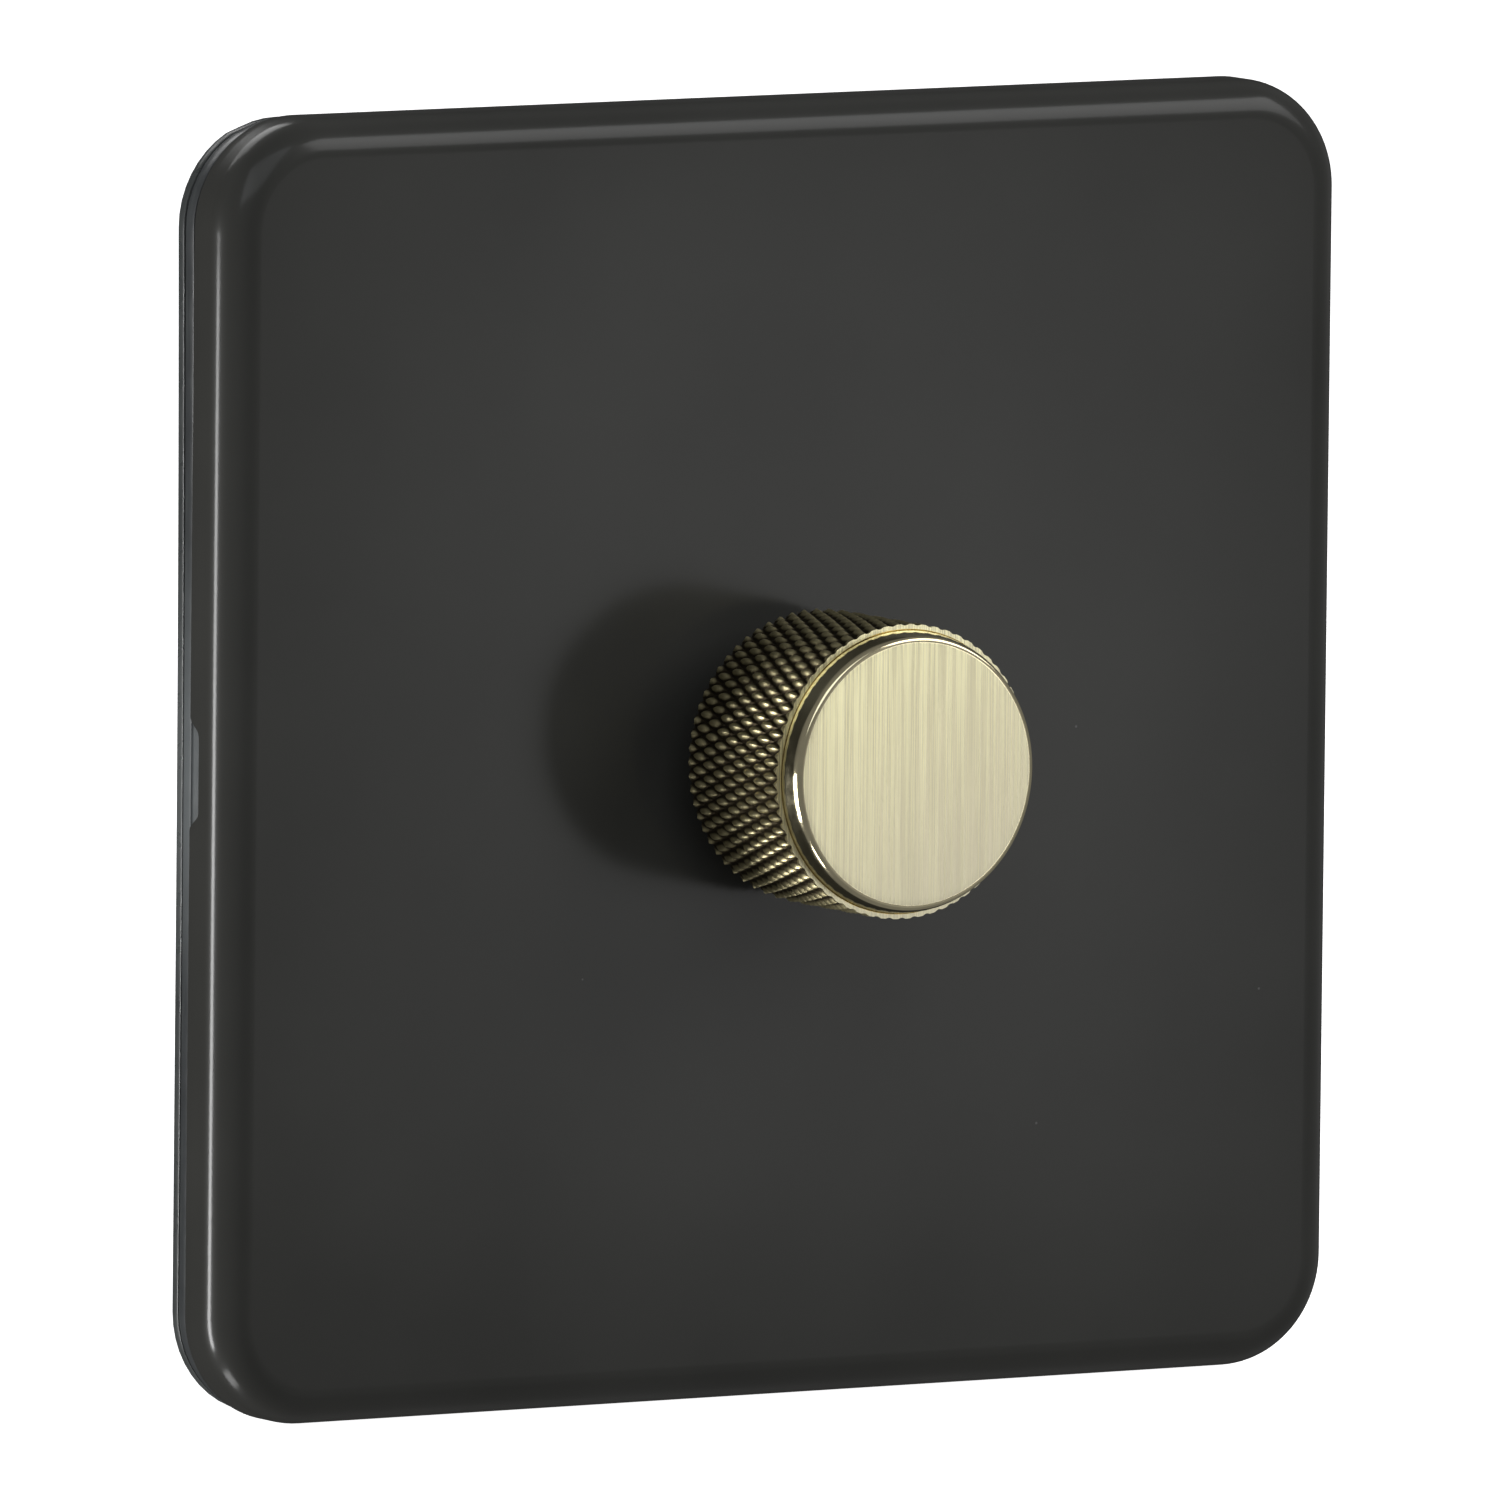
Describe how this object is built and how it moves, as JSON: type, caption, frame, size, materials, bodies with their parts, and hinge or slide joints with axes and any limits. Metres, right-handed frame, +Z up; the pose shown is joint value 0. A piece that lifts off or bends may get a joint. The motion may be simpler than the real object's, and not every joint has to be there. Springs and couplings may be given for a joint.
{
  "type": "rotary dimmer switch",
  "caption": "One-gang screwless wall dimmer: black metal cover plate with a knurled brass knob that turns to dim and pushes to switch, and a boxed module behind.",
  "frame": {"origin": "on the knob's axis, in the plane of the wall that the gasket rests against", "axes": "+Z up the wall, the face and knob look along -Y, the module runs into the wall along +Y"},
  "size_m": [0.088, 0.0486, 0.088],
  "materials": {
    "matt_black_coat": "fine matt powder coat, satin on the folded edge",
    "frame_plastic": "moulded dark grey plastic",
    "clear_gasket": "clear soft sheet, slightly cloudy",
    "antique_brass": "diamond-knurled and darkened on the barrel, brushed on the face",
    "brass": "turned brass",
    "zinc_steel": "bright zinc plate",
    "spring_steel": "hardened and oiled",
    "aluminium": "rolled sheet, punched",
    "black_plastic": "moulded, fine spark texture",
    "grey_plastic": "moulded",
    "white_nylon": "moulded, slightly translucent",
    "board_green": "solder-resisted laminate",
    "phenolic": "pressed paper laminate",
    "enamelled_copper": "enamelled wire",
    "copper": "stamped copper alloy",
    "ferrite": "sintered, dull",
    "film_yellow": "moulded box",
    "fuse_ceramic": "glazed ceramic tube with plated caps",
    "silicone_pad": "thin filled sheet"
  },
  "bodies": {
    "module": {"front_plate": "matt_black_coat", "mounting_frame": "frame_plastic", "wall_gasket": "clear_gasket", "fixing_screw_left": "zinc_steel", "fixing_screw_right": "zinc_steel", "threaded_bush": "brass", "bush_nut": "brass", "lock_washer": "spring_steel", "heatsink_plate": "aluminium", "pot_housing": "zinc_steel", "pot_track": "phenolic", "pot_lug_1": "zinc_steel", "pot_lug_2": "zinc_steel", "pot_lug_3": "zinc_steel", "switch_cover": "black_plastic", "switch_housing": "black_plastic", "switch_spring": "spring_steel", "fixed_contact_left": "brass", "fixed_contact_right": "brass", "circuit_board": "board_green", "transistor_left": "black_plastic", "transistor_right": "black_plastic", "thermal_pad_left": "silicone_pad", "thermal_pad_right": "silicone_pad", "transistor_screw_left": "zinc_steel", "transistor_screw_right": "zinc_steel", "choke_core": "ferrite", "choke_winding": "enamelled_copper", "film_capacitor": "film_yellow", "electrolytic_capacitor": "black_plastic", "controller_chip": "black_plastic", "fuse": "fuse_ceramic", "terminal_block": "grey_plastic", "terminal_cage_1": "brass", "terminal_cage_2": "brass", "terminal_cage_3": "brass", "terminal_screw_1": "zinc_steel", "terminal_screw_2": "zinc_steel", "terminal_screw_3": "zinc_steel", "module_case": "black_plastic", "case_screw_1": "zinc_steel", "case_screw_2": "zinc_steel", "case_screw_3": "zinc_steel", "case_screw_4": "zinc_steel", "earth_block": "brass", "earth_screw": "zinc_steel", "earth_spring": "spring_steel"},
    "plunger": {"switch_plunger": "white_nylon"},
    "knob": {"knob_shell": "antique_brass", "knob_insert": "white_nylon", "knob_spring_clip": "spring_steel", "spindle": "brass", "spindle_circlip": "spring_steel"},
    "cam": {"index_cam": "grey_plastic"},
    "rotor": {"pot_rotor": "white_nylon", "pot_wiper": "brass"},
    "contact": {"contact_carrier": "grey_plastic", "contact_bridge": "copper"}
  },
  "joints": [
    {"name": "push", "type": "slide", "parent": "module", "child": "plunger", "axis": [0, 1, 0], "range_m": [0, 0.0015], "stiffness_N_per_m": 1500, "springref_m": -0.002, "deforming": ["switch_spring"]},
    {"name": "turn", "type": "hinge", "parent": "plunger", "child": "knob", "pos_m": [0, 0, 0], "axis": [0, 1, 0], "range_deg": [-135, 135]},
    {"name": "cam_index", "type": "hinge", "parent": "plunger", "child": "cam", "pos_m": [0, 0, 0], "axis": [0, 1, 0], "range_deg": [0, 23]},
    {"name": "rotor_turn", "type": "hinge", "parent": "module", "child": "rotor", "pos_m": [0, 0, 0], "axis": [0, 1, 0], "range_deg": [-135, 135]},
    {"name": "contact_slide", "type": "slide", "parent": "module", "child": "contact", "axis": [0, 1, 0], "range_m": [0, 0.00121]}
  ],
  "couplings": [
    {"joint": "cam_index", "follows": "push", "rad_per_m": 261.8},
    {"joint": "rotor_turn", "follows": "turn", "ratio": 1},
    {"joint": "contact_slide", "follows": "push", "ratio": 0.8}
  ]
}
